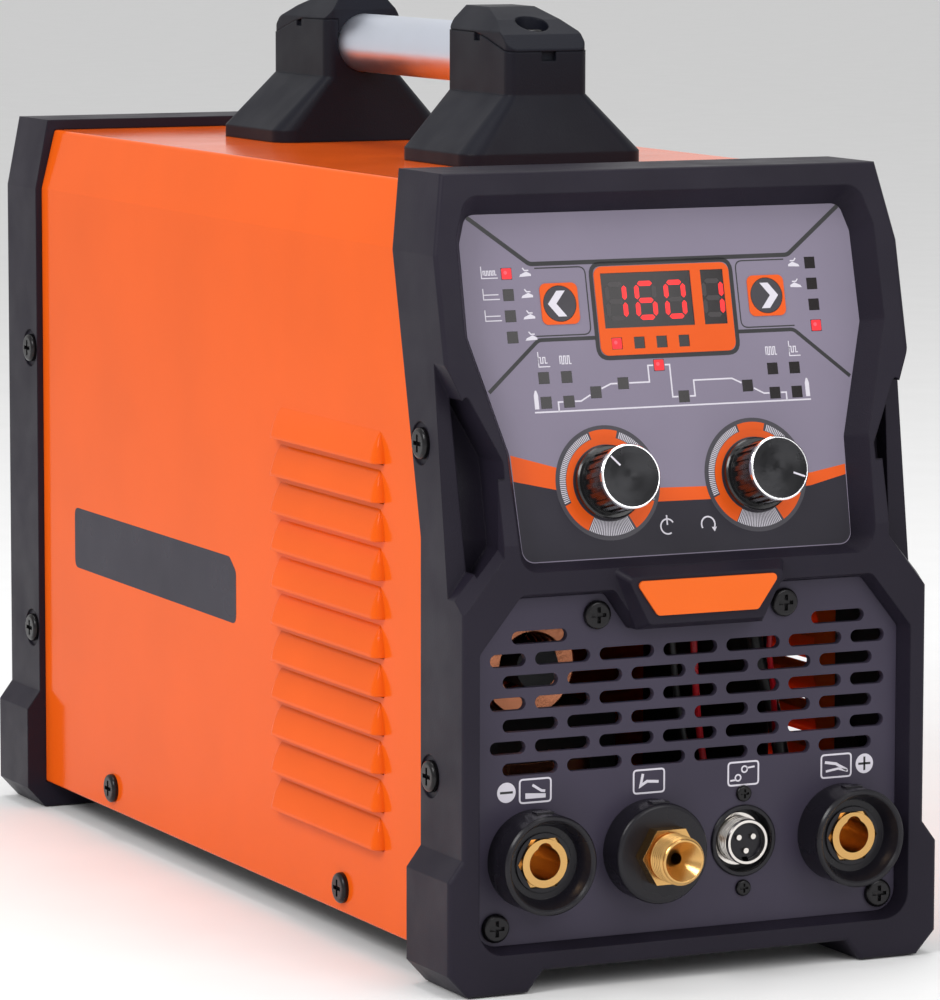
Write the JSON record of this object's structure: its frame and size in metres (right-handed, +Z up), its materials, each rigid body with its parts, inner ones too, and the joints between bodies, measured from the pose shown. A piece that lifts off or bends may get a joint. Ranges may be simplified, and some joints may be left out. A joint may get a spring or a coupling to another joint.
{
  "type": "tig welding machine",
  "caption": "Portable inverter TIG welding machine: louvred sheet case between moulded end bezels, sloping control panel, front sockets, rear fan and a tube carry handle.",
  "frame": {"origin": "on the ground plane under the middle of the machine's overall box", "axes": "front faces -Y, +X is on the right seen from the front, +Z is up"},
  "size_m": [0.212, 0.53, 0.3685],
  "materials": {
    "bezel_plastic": "fine-grained charcoal moulding",
    "orange_paint": "smooth gloss powder coat",
    "base_steel": "black powder coat",
    "panel_steel": "satin charcoal paint",
    "screw_steel": "bright plated",
    "black_screw": "blackened",
    "badge_orange": "smooth",
    "black_plastic": "satin",
    "brass": "machined",
    "nickel": "plated, satin",
    "overlay_print": "printed film, grey-violet with charcoal and orange areas",
    "trim_orange": "smooth",
    "lens": "smoked red",
    "board": "solder-masked laminate",
    "switch_plastic": "plain",
    "rocker_plastic": "smooth",
    "button_plastic": "satin",
    "knob_plastic": "ribbed satin",
    "knob_metal": "spun and dark anodised, bright rim",
    "handle_aluminium": "satin anodised",
    "handle_plastic": "fine-grained black",
    "chrome_wire": "bright wire",
    "fan_plastic": "plain",
    "sink_aluminium": "extruded",
    "capacitor_sleeve": "shrink sleeve",
    "ferrite": "sintered grey-black",
    "copper": "enamelled copper wire",
    "valve_brass": "machined, with a dark coil",
    "plunger_steel": "ground",
    "hose_rubber": "plain"
  },
  "bodies": {
    "machine": {"front_bezel": "bezel_plastic", "rear_bezel": "bezel_plastic", "cover": "orange_paint", "base_plate": "base_steel", "case_screws": "screw_steel", "connector_panel": "panel_steel", "m4_screws": "screw_steel", "badge_plate": "badge_orange", "torch_flange": "black_plastic", "torch_connector": "brass", "control_connector_cup": "black_plastic", "control_connector_shell": "nickel", "control_connector_insert": "black_plastic", "control_connector_pins": "nickel", "connector_screws": "black_screw", "socket_nuts": "brass", "control_panel": "bezel_plastic", "panel_overlay": "overlay_print", "panel_trim": "trim_orange", "indicator_lenses": "lens", "control_board": "board", "encoder_bodies": "switch_plastic", "handle_tube": "handle_aluminium", "handle_screws": "screw_steel", "rear_panel": "panel_steel", "fan_guard": "chrome_wire", "fan_frame": "fan_plastic", "power_switch_body": "switch_plastic", "cord_gland": "black_plastic", "gas_inlet": "brass", "heat_sinks": "sink_aluminium", "power_board": "board", "capacitors": "capacitor_sleeve", "transformer_core": "ferrite", "transformer_winding": "copper", "choke_core": "ferrite", "choke_coil": "copper", "gas_valve": "valve_brass", "gas_hoses": "hose_rubber", "negative_socket_body": "black_plastic", "negative_socket_insert": "brass", "positive_socket_body": "black_plastic", "positive_socket_insert": "brass", "front_handle_bracket": "handle_plastic", "front_handle_cap": "handle_plastic", "rear_handle_bracket": "handle_plastic", "rear_handle_cap": "handle_plastic"},
    "left_button_body": {"left_button": "button_plastic"},
    "right_button_body": {"right_button": "button_plastic"},
    "left_push": {"left_encoder_plunger": "switch_plastic"},
    "right_push": {"right_encoder_plunger": "switch_plastic"},
    "left_dial": {"left_encoder_shaft": "plunger_steel", "left_knob": "knob_plastic", "left_knob_face": "knob_metal"},
    "right_dial": {"right_encoder_shaft": "plunger_steel", "right_knob": "knob_plastic", "right_knob_face": "knob_metal"},
    "fan": {"fan_rotor": "fan_plastic"},
    "rocker": {"power_switch_rocker": "rocker_plastic"},
    "valve": {"valve_plunger": "plunger_steel"}
  },
  "joints": [
    {"name": "left_button_press", "type": "slide", "parent": "machine", "child": "left_button_body", "axis": [0, 0.9722, -0.234], "range_m": [0, 0.0005], "stiffness_N_per_m": 1500, "springref_m": -0.0003},
    {"name": "right_button_press", "type": "slide", "parent": "machine", "child": "right_button_body", "axis": [0, 0.9722, -0.234], "range_m": [0, 0.0005], "stiffness_N_per_m": 1500, "springref_m": -0.0003},
    {"name": "left_dial_press", "type": "slide", "parent": "machine", "child": "left_push", "axis": [0, 0.9722, -0.234], "range_m": [0, 0.0008], "stiffness_N_per_m": 2500, "springref_m": -0.0006},
    {"name": "left_dial_turn", "type": "hinge", "parent": "left_push", "child": "left_dial", "pos_m": [-0.032, -0.22783, 0.19199], "axis": [0, -0.9722, 0.234], "continuous": true},
    {"name": "right_dial_press", "type": "slide", "parent": "machine", "child": "right_push", "axis": [0, 0.9722, -0.234], "range_m": [0, 0.0008], "stiffness_N_per_m": 2500, "springref_m": -0.0006},
    {"name": "right_dial_turn", "type": "hinge", "parent": "right_push", "child": "right_dial", "pos_m": [0.032, -0.22783, 0.19199], "axis": [0, -0.9722, 0.234], "continuous": true},
    {"name": "fan_spin", "type": "hinge", "parent": "machine", "child": "fan", "pos_m": [0, 0.221, 0.15], "axis": [0, 1, 0], "continuous": true},
    {"name": "power_switch_rock", "type": "hinge", "parent": "machine", "child": "rocker", "pos_m": [-0.048, 0.233, 0.262], "axis": [1, 0, 0], "range_deg": [0, 22]},
    {"name": "valve_lift", "type": "slide", "parent": "machine", "child": "valve", "axis": [0, 0, 1], "range_m": [0, 0.003], "stiffness_N_per_m": 300, "springref_m": -0.002}
  ]
}
